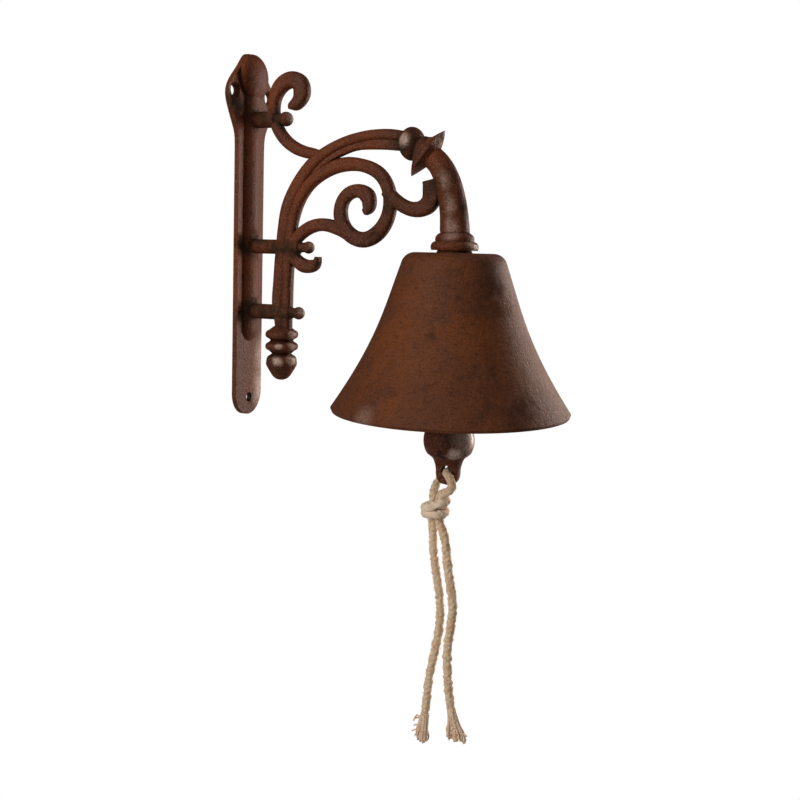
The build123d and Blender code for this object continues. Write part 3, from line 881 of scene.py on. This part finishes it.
@dataclass(frozen=True)
class YarnWorks:
    """Makes tubes of yarn: laid cords, loose strands and the fine hairs on them.

    Attributes:
        section_points: Number of points round a laid cord.
        step: Distance between a laid cord's sections, in metres.
        core: Radius between two strands, as a share of the cord's.
        crown: How far a strand stands out from there, as the same share.
        crown_power: How round a strand's crown is. Below 1 it is flatter.
        fluff: How far fibres roughen the surface, as the same share.
        fluff_scale: Fibres per metre.
        slub: Height of the thick places in the yarn, as a share of the fluff.
        slub_scale: Thick places per metre.
        wander: How far the lay turns on and back, in radians.
        wander_scale: How often it does so per metre.
        hair_lean: How far a hair leans along the cord at most.
        hair_reach: Least and most that a hair stands off, in metres.
        hair_radii: Radius of a hair at its root, middle and tip, in metres.
        hair_root: Where a hair's root is, as a share of the cord's radius.
        hair_middle: How far its middle is off the root, outwards and along, as shares of its reach.
        hair_tip: The same for its tip.
        hair_sides: Number of a hair's sides.
    """

    section_points: int = 24
    step: float = 0.0006
    core: float = 0.82
    crown: float = 0.18
    crown_power: float = 0.8
    fluff: float = 0.28
    fluff_scale: float = 620.0
    slub: float = 0.6
    slub_scale: float = 330.0
    wander: float = 1.5
    wander_scale: float = 110.0
    hair_lean: float = 0.8
    hair_reach: Limits = (0.0006, 0.0018)
    hair_radii: tuple[float, float, float] = (0.00010, 0.00008, 0.00004)
    hair_root: float = 0.8
    hair_middle: tuple[float, float] = (0.6, 0.5)
    hair_tip: tuple[float, float] = (0.8, 1.3)
    hair_sides: int = 3

    @staticmethod
    def centreline(points: list[Point], name: str) -> list[Vector]:
        """Reads the smooth line of a route.

        Args:
            points: The control points.
            name: Name of the curve while it is measured.

        Returns:
            Points along the smooth line.
        """
        data = bpy.data.curves.new(name, "CURVE")
        data.dimensions = "3D"
        data.resolution_u = 24
        spline = data.splines.new("NURBS")
        spline.points.add(len(points) - 1)
        for target, point in zip(spline.points, points):
            target.co = (*point, 1.0)
        spline.order_u = 3
        spline.use_endpoint_u = True
        holder = bpy.data.objects.new(name, data)
        bpy.context.scene.collection.objects.link(holder)
        bpy.context.view_layer.update()
        mesh = bpy.data.meshes.new_from_object(holder)
        line = [v.co.copy() for v in mesh.vertices]
        bpy.data.objects.remove(holder)
        bpy.data.curves.remove(data)
        bpy.data.meshes.remove(mesh)
        return line

    @staticmethod
    def even(line: list[Vector], step: float) -> list[Vector]:
        """Spaces a line's points evenly.

        Args:
            line: Points along the line.
            step: Distance between the new points.

        Returns:
            The evenly spaced points.
        """
        lengths = [0.0]
        for a, b in zip(line, line[1:]):
            lengths.append(lengths[-1] + (b - a).length)
        count = max(2, round(lengths[-1] / step))
        found: list[Vector] = []
        k = 0
        for i in range(count + 1):
            target = lengths[-1] * i / count
            while k < len(lengths) - 2 and lengths[k + 1] < target:
                k += 1
            span = lengths[k + 1] - lengths[k]
            share = (target - lengths[k]) / span if span > 0 else 0.0
            found.append(line[k].lerp(line[k + 1], min(1.0, max(0.0, share))))
        return found

    @staticmethod
    def frames(points: list[Vector]) -> list[tuple[Vector, Vector]]:
        """Carries two sideways directions along a line without twisting them.

        Args:
            points: Points along the line.

        Returns:
            The two directions at each point.
        """
        side = (points[1] - points[0]).orthogonal().normalized()
        found = []
        for i in range(len(points)):
            ahead = points[min(i + 1, len(points) - 1)] - points[max(i - 1, 0)]
            ahead.normalize()
            side = (side - ahead * side.dot(ahead)).normalized()
            found.append((side, ahead.cross(side)))
        return found

    def laid_tube(
        self,
        bm: YarnMesh,
        points: list[Vector],
        radii: list[float],
        strands: int,
        pitch: float,
    ) -> None:
        """Adds a laid cord: its section has one lobe for each strand and turns on its way.

        Args:
            bm: The mesh that it goes into.
            points: Evenly spaced points along the cord.
            radii: Radius over the strands at each point.
            strands: Number of strands.
            pitch: Length of one turn of the lay.
        """
        lay = bm.verts.layers.float[LAY_ATTRIBUTE]
        travelled = 0.0
        rings: Rings = []
        for i, (point, (side, other)) in enumerate(zip(points, self.frames(points))):
            if i:
                travelled += (point - points[i - 1]).length
            wander = self.wander * noise.noise(point * self.wander_scale)
            slub = self.slub * noise.noise(point * self.slub_scale)
            turn = FULL_TURN * travelled / pitch + wander
            ring = []
            for k in range(self.section_points):
                angle = FULL_TURN * k / self.section_points
                lobe = abs(math.cos(strands * (angle - turn) / 2)) ** self.crown_power
                out = side * math.cos(angle) + other * math.sin(angle)
                rough = noise.noise((point + out * radii[i]) * self.fluff_scale) + slub
                reach = radii[i] * (self.core + self.crown * lobe + self.fluff * rough)
                vert = bm.verts.new(point + out * reach)
                vert[lay] = lobe
                ring.append(vert)
            rings.append(ring)
        self._skin(bm, rings)

    def plain_tube(
        self, bm: YarnMesh, points: list[Vector], radii: Sequence[float], sides: int
    ) -> None:
        """Adds a plain strand.

        Args:
            bm: The mesh that it goes into.
            points: Points along the strand.
            radii: Radius at each point.
            sides: Number of sides.
        """
        lay = bm.verts.layers.float[LAY_ATTRIBUTE]
        rings: Rings = []
        for i, (point, (side, other)) in enumerate(zip(points, self.frames(points))):
            ring = []
            for k in range(sides):
                angle = FULL_TURN * k / sides
                out = side * math.cos(angle) + other * math.sin(angle)
                vert = bm.verts.new(point + out * radii[i])
                vert[lay] = 0.5
                ring.append(vert)
            rings.append(ring)
        self._skin(bm, rings)

    @staticmethod
    def _skin(bm: YarnMesh, rings: Rings) -> None:
        """Closes rings of points to a tube with both ends capped.

        Args:
            bm: The mesh.
            rings: The rings from start to end.
        """
        sides = len(rings[0])
        for low, high in zip(rings, rings[1:]):
            for k in range(sides):
                j = (k + 1) % sides
                bm.faces.new((low[k], low[j], high[j], high[k]))
        bm.faces.new(list(reversed(rings[0])))
        bm.faces.new(rings[-1])

    def hairs(
        self, bm: YarnMesh, points: list[Vector], radius: float, count: int, seed: int
    ) -> None:
        """Adds fine hairs that stand off a cord.

        Args:
            bm: The mesh that they go into.
            points: Points along the cord.
            radius: Radius of the cord.
            count: Number of hairs.
            seed: Seed of their places.
        """
        chance = random.Random(seed)
        directions = self.frames(points)
        for _ in range(count):
            i = chance.randrange(2, len(points) - 3)
            angle = chance.uniform(0, FULL_TURN)
            side, other = directions[i]
            out = side * math.cos(angle) + other * math.sin(angle)
            ahead = (points[i + 1] - points[i - 1]).normalized()
            along = ahead * chance.uniform(-self.hair_lean, self.hair_lean)
            reach = chance.uniform(*self.hair_reach)
            root = points[i] + out * radius * self.hair_root
            line = [root]
            for outwards, onwards in (self.hair_middle, self.hair_tip):
                line.append(root + (out * outwards + along * onwards) * reach)
            self.plain_tube(bm, line, self.hair_radii, self.hair_sides)

    @staticmethod
    def fresh() -> YarnMesh:
        """Starts a mesh that can hold the lay of yarn.

        Returns:
            The mesh.
        """
        bm = bmesh.new()
        bm.verts.layers.float.new(LAY_ATTRIBUTE)
        return bm

    @staticmethod
    def finish(bm: YarnMesh, name: str, material: Material) -> Piece:
        """Turns a mesh to a smooth piece of the pull cord, which rides on the clapper.

        Args:
            bm: The mesh.
            name: Name of the piece.
            material: Its material.

        Returns:
            The piece.
        """
        bmesh.ops.recalc_face_normals(bm, faces=bm.faces[:])
        mesh = bpy.data.meshes.new(name)
        bm.to_mesh(mesh)
        bm.free()
        for polygon in mesh.polygons:
            polygon.use_smooth = True
        mesh.materials.append(material)
        piece = bpy.data.objects.new(name, mesh)
        bpy.context.scene.collection.objects.link(piece)
        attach(piece, CORD_BODY)
        return piece


@dataclass(frozen=True)
class Fray:
    """A frayed end: loose yarns that leave the cord and spread to a few tufts.

    Attributes:
        yarns: Number of loose yarns, wisps among them.
        start_up: How far above the end they leave the cord, in metres.
        tufts: Where each tuft ends, from the cord's end, from left to right.
        wisps: Where each single yarn that stands off the side ends, from the cord's end.
        wisp_up: How far above its tip a wisp leaves the cord.
        bundle_radius: Radius of the bundle that the yarns leave from.
        bundle_width: Width of it that is shared out among the tufts.
        spread: How far the yarns of a tuft scatter.
        overrun: Least and most that a yarn runs past its tuft's end.
        wave: How far the yarns wave.
        wisp_knee: Where a wisp bends, as a share of its length.
        knee_lean: How far a yarn leans to its tuft half way down.
        curl_lean: How far it bends outwards below that.
        yarn_radius: Least and most radius of a yarn.
        wisp_radius: Radius of a wisp.
        thinning: How much thinner a yarn's tip is, as a share of its radius.
        step: Distance between a yarn's sections.
        sides: Number of a yarn's sides.
    """

    yarns: int
    start_up: float
    tufts: tuple[Point, ...]
    wisps: tuple[Point, ...]
    wisp_up: float = 0.003
    bundle_radius: float = 0.0018
    bundle_width: float = 0.0034
    spread: float = 0.0004
    overrun: Limits = (-0.0022, 0.0004)
    wave: float = 0.0004
    wisp_knee: float = 0.35
    knee_lean: float = 0.3
    curl_lean: float = 0.12
    yarn_radius: Limits = (0.0003, 0.0006)
    wisp_radius: float = 0.0005
    thinning: float = 0.25
    step: float = 0.0009
    sides: int = 6

    @staticmethod
    def _above_end(points: list[Vector], height: float) -> int:
        """Finds the point of a cord that is a given distance from its end.

        Args:
            points: Points along the cord.
            height: The distance.

        Returns:
            Number of the point.
        """
        return min(range(len(points)), key=lambda k: abs((points[k] - points[-1]).length - height))

    def build(
        self, works: YarnWorks, name: str, points: list[Vector], material: Material, seed: int
    ) -> Piece:
        """Makes the loose yarns of one end.

        Args:
            works: The yarn maker.
            name: Name of the piece.
            points: Points along the cord.
            material: The cotton material.
            seed: Seed of the yarns' places.

        Returns:
            The piece.
        """
        chance = random.Random(seed)
        bm = works.fresh()
        end = points[-1]
        start = self._above_end(points, self.start_up)
        heading = (end - points[start]).normalized()
        side, other = works.frames(points[start:])[0]
        for i in range(self.yarns):
            wisp = i < len(self.wisps)
            angle = chance.uniform(0, FULL_TURN)
            ring = self.bundle_radius * math.sqrt(chance.random())
            offset = (side * math.cos(angle) + other * math.sin(angle)) * ring
            across = max(0.0, 0.5 + offset.x / self.bundle_width)
            tuft = min(len(self.tufts) - 1, int(across * len(self.tufts)))
            aim = Vector(self.wisps[i] if wisp else self.tufts[tuft])
            begin = self._above_end(points, aim.z + self.wisp_up) if wisp else start
            root = points[begin] + offset
            loose = Vector([chance.gauss(0, self.spread) for _ in range(3)])
            tip = end + aim + loose + heading * chance.uniform(*self.overrun)
            if wisp:
                knee = root.lerp(tip, self.wisp_knee)
            else:
                knee = root + heading * self.start_up * 0.5 + aim * self.knee_lean
            waved = Vector([chance.gauss(0, self.wave) for _ in range(3)])
            curl = knee.lerp(tip, 0.5) + aim * self.curl_lean + waved
            route = [tuple(root), tuple(knee), tuple(curl), tuple(tip)]
            line = works.even(works.centreline(route, "yarn_line"), self.step)
            thick = self.wisp_radius if wisp else chance.uniform(*self.yarn_radius)
            radii = [thick * (1.0 - self.thinning * k / len(line)) for k in range(len(line))]
            works.plain_tube(bm, line, radii, self.sides)
        return works.finish(bm, name, material)


@dataclass(frozen=True)
class HalfPlan:
    """What one half of the pull cord has for itself.

    Attributes:
        piece: Name of its piece.
        fullness: Its thickness, as a share of the cord's.
        hair_seed: Seed of its hairs.
        fray_seed: Seed of its loose yarns.
        fray: Its frayed end.
        route_mm: Its control points in millimetres, from the tail's hole to its end.
    """

    piece: str
    fullness: float
    hair_seed: int
    fray_seed: int
    fray: Fray
    route_mm: tuple[Point, ...]

    def route(self) -> list[Point]:
        """Gives the control points in metres."""
        return [(x / MM_PER_M, y / MM_PER_M, z / MM_PER_M) for x, y, z in self.route_mm]


HALF_PLANS: dict[CordHalf, HalfPlan] = {
    CordHalf.RIGHT: HalfPlan(
        piece="cotton_cord_right",
        fullness=1.16,
        hair_seed=11,
        fray_seed=21,
        fray=Fray(
            yarns=230,
            start_up=0.016,
            tufts=(
                (-0.0041, 0.0005, 0.0016),
                (-0.0033, -0.0006, 0.0010),
                (-0.0025, 0.0004, 0.0010),
                (-0.0016, 0.0002, 0.0014),
                (0.0030, -0.0005, 0.0012),
                (0.0042, 0.0004, 0.0),
                (0.0052, 0.0, 0.0002),
            ),
            wisps=((0.0064, 0.0, 0.0036), (0.0058, 0.001, 0.0010), (0.0054, 0.0, 0.0024)),
        ),
        route_mm=(
            (122.6, 0.0, -111.0),
            (122.6, -4.4, -111.0),
            (126.2, -6.9, -113.2),
            (127.6, -5.9, -117.2),
            (124.0, -3.6, -121.0),
            (118.3, -0.8, -123.9),
            (118.2, -0.7, -130.6),
            (118.3, -0.8, -137.4),
            (120.9, -0.4, -143.0),
            (122.5, 0.0, -150.5),
            (123.3, 0.0, -159.0),
            (125.3, -0.4, -169.0),
            (127.3, -0.2, -179.5),
            (126.2, 0.4, -190.5),
            (124.5, 0.6, -201.0),
            (124.7, 0.2, -212.5),
            (126.0, -0.4, -223.5),
            (127.8, -0.6, -234.0),
            (129.6, -0.2, -243.5),
            (130.8, 0.0, -251.0),
        ),
    ),
    CordHalf.LEFT: HalfPlan(
        piece="cotton_cord_left",
        fullness=1.07,
        hair_seed=12,
        fray_seed=22,
        fray=Fray(
            yarns=200,
            start_up=0.015,
            tufts=(
                (-0.0024, 0.0004, 0.0020),
                (-0.0014, -0.0006, 0.0006),
                (0.0, 0.0006, -0.0004),
                (0.0014, 0.0, -0.0006),
                (0.0026, 0.0004, -0.0002),
            ),
            wisps=(
                (-0.0052, 0.0, 0.0105),
                (-0.0044, 0.0, 0.0088),
                (-0.0042, 0.0005, 0.0066),
                (-0.0048, 0.0, 0.0034),
            ),
        ),
        route_mm=(
            (122.6, 0.0, -111.0),
            (122.6, 4.4, -111.0),
            (118.6, 6.9, -113.0),
            (115.0, 6.4, -117.0),
            (114.0, 4.2, -120.6),
            (114.1, 0.8, -123.9),
            (114.2, 0.7, -130.6),
            (114.1, 0.8, -137.4),
            (114.9, 0.5, -146.5),
            (115.8, 0.0, -156.5),
            (118.0, -0.3, -167.5),
            (120.0, 0.0, -178.5),
            (120.2, 0.4, -190.0),
            (118.6, 0.2, -202.0),
            (116.2, -0.3, -213.5),
            (114.6, -0.4, -225.0),
            (113.8, 0.0, -236.5),
            (112.0, 0.3, -246.5),
            (111.2, 0.2, -255.0),
        ),
    ),
}


@dataclass(frozen=True)
class PullCord:
    """The two halves of the twisted cotton cord.

    Attributes:
        works: The yarn maker.
        diameter: Diameter of the cord in metres.
        strands: Number of its strands.
        twist_pitch: Length of one turn of the lay.
        pulled_share: How thick it is where it is pulled tight, at the tail's hole, as a share.
        swell_length: Length over which that share would grow by 1.
        tip_share: How thick it is at its end, inside the fray.
        tip_length: Length over which that share would grow by 1, going up.
        hair_count: Number of hairs on one half.
        path_step: Spacing of a list of points along the cord that is made and then dropped.
    """

    works: YarnWorks
    diameter: float = 0.004
    strands: int = 3
    twist_pitch: float = 0.0078
    pulled_share: float = 0.88
    swell_length: float = 0.30
    tip_share: float = 0.62
    tip_length: float = 0.05
    hair_count: int = 420
    path_step: float = 0.002

    def radii(self, fullness: float, length: float, count: int) -> list[float]:
        """Gives one half's radius along its length.

        Args:
            fullness: Its thickness, as a share of the cord's.
            length: Its length.
            count: Number of points.

        Returns:
            The radius at each point.
        """
        found = []
        for i in range(count):
            left_over = length * (1 - i / (count - 1))
            swell = min(1.0, self.pulled_share + (length - left_over) / self.swell_length)
            tip = min(1.0, self.tip_share + left_over / self.tip_length)
            found.append(self.diameter / 2 * fullness * swell * tip)
        return found

    def build(self, half: CordHalf, material: Material, loose: Material) -> list[Piece]:
        """Args:
            half: Which half.
            material: The cotton material.
            loose: The cotton material of the frayed end.

        Returns:
            The cord, its hairs and its frayed end.
        """
        plan = HALF_PLANS[half]
        works = self.works
        line = works.centreline(plan.route(), half.value + "_line")
        length = sum((b - a).length for a, b in zip(line, line[1:]))
        points = works.even(line, works.step)
        radii = self.radii(plan.fullness, length, len(points))
        strands = works.fresh()
        works.laid_tube(strands, points, radii, self.strands, self.twist_pitch)
        piece = works.finish(strands, plan.piece, material)
        fuzz = works.fresh()
        works.hairs(fuzz, points, self.diameter / 2, self.hair_count, plan.hair_seed)
        hairs = works.finish(fuzz, plan.piece + "_hairs", material)
        end = plan.fray.build(works, plan.piece + "_fray", points, loose, plan.fray_seed)
        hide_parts(half.value)
        [tuple(p) for p in works.even(line, self.path_step)]
        return [piece, hairs, end]


@dataclass(frozen=True)
class CordKnot:
    """Two tight turns of the cord round both halves. Sizes are in metres.

    Attributes:
        works: The yarn maker.
        centre_x: Middle of the turns, out from the wall.
        top_z: Height of the upper turn's start.
        half_x: Half the turns' width out from the wall.
        half_y: Half their width along the wall.
        pitch: How far one turn goes down.
        turns: Number of turns.
        turn_points: Control points in one turn.
        diameter: Diameter of the cord in the knot, which is loosely packed.
        bulge: How far the turns stand out on the wall's side.
        tilt: How far the upper turn tilts.
        lower_tilt: How far the lower turn tilts, as a share of the upper one's.
        top_width: Width of the upper turn's start, as a share.
        narrowing: How much narrower the lower turn's end is, as a share.
        unevenness: How much the thickness varies, as a share.
        lump_scale: Thick places per metre.
        hair_count: Number of hairs.
        hair_seed: Seed of their places.
    """

    works: YarnWorks
    centre_x: float = 0.1162
    top_z: float = -0.1268
    half_x: float = 0.0050
    half_y: float = 0.0044
    pitch: float = 0.0044
    turns: float = 2.0
    turn_points: int = 8
    diameter: float = 0.0050
    bulge: float = 0.0007
    tilt: float = 0.0012
    lower_tilt: float = -0.5
    top_width: float = 1.08
    narrowing: float = 0.10
    unevenness: float = 0.22
    lump_scale: float = 260.0
    hair_count: int = 160
    hair_seed: int = 31

    def route(self) -> list[Point]:
        """Lays out the turns.

        Returns:
            The control points in metres.
        """
        found: list[Point] = []
        steps = round(self.turn_points * self.turns)
        for i in range(steps + 1):
            angle = FULL_TURN * i / self.turn_points
            bulge = self.bulge * max(0.0, -math.sin(angle))
            tilt = self.tilt * math.sin(angle) * (1 if i < steps / 2 else self.lower_tilt)
            width = self.top_width - self.narrowing * i / steps
            found.append(
                (
                    self.centre_x + width * self.half_x * math.sin(angle) - bulge,
                    width * self.half_y * math.cos(angle),
                    self.top_z - self.pitch * i / self.turn_points + tilt,
                )
            )
        return found

    def build(self, cord: PullCord, material: Material) -> Piece:
        """Makes the knot.

        Args:
            cord: The cord whose lay the knot shares.
            material: The cotton material.

        Returns:
            The knot's piece.
        """
        works = self.works
        points = works.even(works.centreline(self.route(), "knot_line"), works.step)
        radii = [
            self.diameter / 2 * (1 + self.unevenness * noise.noise(p * self.lump_scale))
            for p in points
        ]
        bm = works.fresh()
        works.laid_tube(bm, points, radii, cord.strands, cord.twist_pitch)
        works.hairs(bm, points, self.diameter / 2, self.hair_count, self.hair_seed)
        piece = works.finish(bm, "cotton_knot", material)
        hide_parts("cord_knot")
        return piece


BRACKET_IRON = IronFinish(
    warm=(0.172, 0.040, 0.0108),
    middle=(0.103, 0.0285, 0.0115),
    dark=(0.013, 0.006, 0.004),
    rubbed=(0.50, 0.34, 0.27),
    stain=(0.022, 0.017, 0.010),
    grain_size=0.0011,
    grain_depth=0.00032,
    roughness=0.46,
    rub=0.50,
    thickness=0.85,
    gloss=0.10,
    # Dark spots: soot on the bars, knop and scrolls, and painted shade and shadows where marked
    soot_and_shadow=(
        # Soot and painted shade on the plate left of and below the dome
        ((0.003, -0.015, 0.073), 0.012),
        ((0.011, 0.0, 0.068), 0.009),
        ((0.020, 0.0, 0.068), 0.008),
        ((0.011, 0.0, 0.0), 0.010),
        ((0.022, -0.002, 0.0), 0.009),
        ((0.031, -0.002, 0.0), 0.006),
        ((0.011, 0.0, -0.0353), 0.009),
        ((0.021, -0.002, -0.0353), 0.008),
        ((0.0965, -0.004, 0.054), 0.011),
        ((0.086, 0.0, 0.020), 0.011),
        ((0.078, 0.0, 0.005), 0.008),
        ((0.1095, 0.0, 0.030), 0.009),
        ((0.044, 0.0, -0.006), 0.006),
        ((0.0236, -0.005, -0.064), 0.006),
        # Painted shade on the neck's right side
        ((0.1255, 0.0, 0.021), 0.008),
        ((0.1225, -0.001, 0.037), 0.007),
        ((0.1085, 0.0, 0.0535), 0.006),
        # A dark ring round the foot hole
        ((0.003, 0.0, -0.0832), 0.0045),
        ((0.003, 0.0035, -0.0835), 0.0060),
        # Painted shadows of the middle and foot bars on the plate
        ((0.003, -0.0085, 0.0), 0.007),
        ((0.003, -0.0085, -0.0353), 0.008),
        ((0.117, 0.0, 0.058), 0.0055),
        ((0.1006, 0.0, 0.0375), 0.005),
        ((0.030, -0.003, 0.0), 0.009),
        ((0.0265, -0.003, -0.0353), 0.008),
    ),
    # Painted highlights: pale spots on the lamp-facing sides of the ball ends, finial, knop, neck
    # and plate foot
    worn_and_highlight=(
        ((0.0276, -0.0011, 0.069), 0.0032),
        ((0.0422, -0.0009, 0.0008), 0.0028),
        ((0.0368, -0.0010, -0.0345), 0.0032),
        ((0.0319, -0.0025, -0.0465), 0.0032),
        ((0.0319, -0.0025, -0.053), 0.0030),
        ((0.0313, -0.0024, -0.0605), 0.0036),
        ((0.0268, -0.0083, -0.053), 0.0022),
        ((0.0255, -0.0080, -0.061), 0.0032),
        ((0.1333, -0.0034, 0.0015), 0.0045),
        ((0.003, 0.0215, -0.079), 0.0170),
        ((0.003, 0.0215, -0.062), 0.0155),
        ((0.1200, -0.0130, 0.036), 0.0076),
        ((0.1232, -0.0130, 0.024), 0.0076),
        ((0.1243, -0.0130, 0.012), 0.0076),
        ((0.0962, -0.0082, 0.0550), 0.0040),
    ),
)
IRON: dict[Casting, IronFinish] = {
    Casting.BRACKET: BRACKET_IRON,
    Casting.BELL: IronFinish(
        warm=(0.163, 0.046, 0.0125),
        middle=(0.123, 0.038, 0.0155),
        dark=(0.032, 0.013, 0.008),
        rubbed=(0.25, 0.135, 0.095),
        stain=(0.030, 0.018, 0.013),
        grain_size=0.0011,
        grain_depth=0.00036,
        roughness=0.54,
        rub=0.35,
        thickness=0.5,
        gloss=0.14,
        lines=0.6,
        # Dark spots: painted shade along the bell's dark band between the lamps, tinted bluish, and
        # a small stain in front
        soot_and_shadow=(
            ((0.1465, -0.019, -0.020), 0.014),
            ((0.163, -0.035, -0.073), 0.016),
            ((0.1267, -0.038, -0.041), 0.005),
            ((0.137, -0.010, -0.003), 0.012),
        ),
        # A pale spot low on the bell's left side
        worn_and_highlight=(((0.1020, -0.0530, -0.0790), 0.0070),),
    ),
    Casting.CLAPPER: replace(
        BRACKET_IRON,
        warm=(0.160, 0.036, 0.016),
        # Very pale, so that the spots on the ball paint a highlight on its sides
        rubbed=(0.76, 0.585, 0.49),
        soot_and_shadow=(((0.1277, -0.0118, -0.092), 0.0060), ((0.1224, -0.0125, -0.101), 0.0040)),
        # Painted highlights on the sides of the clapper's ball
        worn_and_highlight=(
            ((0.1365, -0.0025, -0.0895), 0.0125),
            ((0.1290, -0.0085, -0.1000), 0.0045),
            ((0.1095, 0.0060, -0.0935), 0.0120),
        ),
    ),
}
FIXING_STEEL = SteelFinish(
    base=(0.32, 0.29, 0.27), stain=(0.12, 0.055, 0.03), roughness=0.4, rust_roughness=0.35
)
LAID_COTTON = CottonFinish(
    lit=(0.98, 0.76, 0.52),
    shade=(0.56, 0.38, 0.23),
    speck=(0.48, 0.28, 0.14),
    aged=(0.88, 0.55, 0.34),
)
# The knot's paler cotton is painted light, and its shade, close to its lit colour, paints out the
# shadow between the turns
PAINTED_LIGHT_KNOT_COTTON = CottonFinish(
    lit=(1.0, 0.81, 0.61),
    shade=(0.94, 0.70, 0.51),
    speck=(0.90, 0.67, 0.49),
    aged=(0.99, 0.76, 0.57),
)
LOOSE_COTTON = CottonFinish(
    lit=(1.0, 0.74, 0.54),
    shade=(0.95, 0.66, 0.48),
    speck=(0.86, 0.58, 0.40),
    aged=(0.98, 0.62, 0.44),
)


@dataclass(frozen=True)
class IronWork:
    """The castings and the steel fixings, which keep the frame's own shapes.

    Attributes:
        finishes: The material maker.
    """

    finishes: Finishes

    def dress(self) -> list[Piece]:
        """Gives each rigid node its material.

        Returns:
            The dressed nodes.
        """
        iron = {
            casting.value: self.finishes.iron(casting.value + " iron", finish)
            for casting, finish in IRON.items()
        }
        steel = self.finishes.steel("fixing steel", FIXING_STEEL)
        rigid = {name: node for name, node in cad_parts.items() if "cord" not in name}
        for name, node in rigid.items():
            node.data.materials.clear()
            node.data.materials.append(iron.get(name, steel))
        return list(rigid.values())


def main() -> None:
    """Builds the studio, the cord and the ironwork in order, and reports each piece."""
    logging.basicConfig(level=logging.INFO)
    bpy.ops.object.select_all(action="DESELECT")
    bpy.context.scene.view_settings.view_transform = "Standard"
    studio = Studio()
    studio.build_camera()
    finishes = Finishes(ShaderKit())
    cotton = finishes.cotton("cotton", LAID_COTTON)
    painted_light_knot_cotton = finishes.cotton("knot cotton with painted light", PAINTED_LIGHT_KNOT_COTTON)
    loose_cotton = finishes.cotton("loose cotton", LOOSE_COTTON)
    works = YarnWorks()
    cord = PullCord(works)
    pieces = [piece for half in CordHalf for piece in cord.build(half, cotton, loose_cotton)]
    pieces.append(CordKnot(works).build(cord, painted_light_knot_cotton))
    pieces += IronWork(finishes).dress()
    for piece in pieces:
        LOG.info("%s: %s", piece.name, piece.data.materials[0].name)
    studio.build_lamps()
    studio.build_world()
    studio.build_floor()


if __name__ == "__main__":
    main()
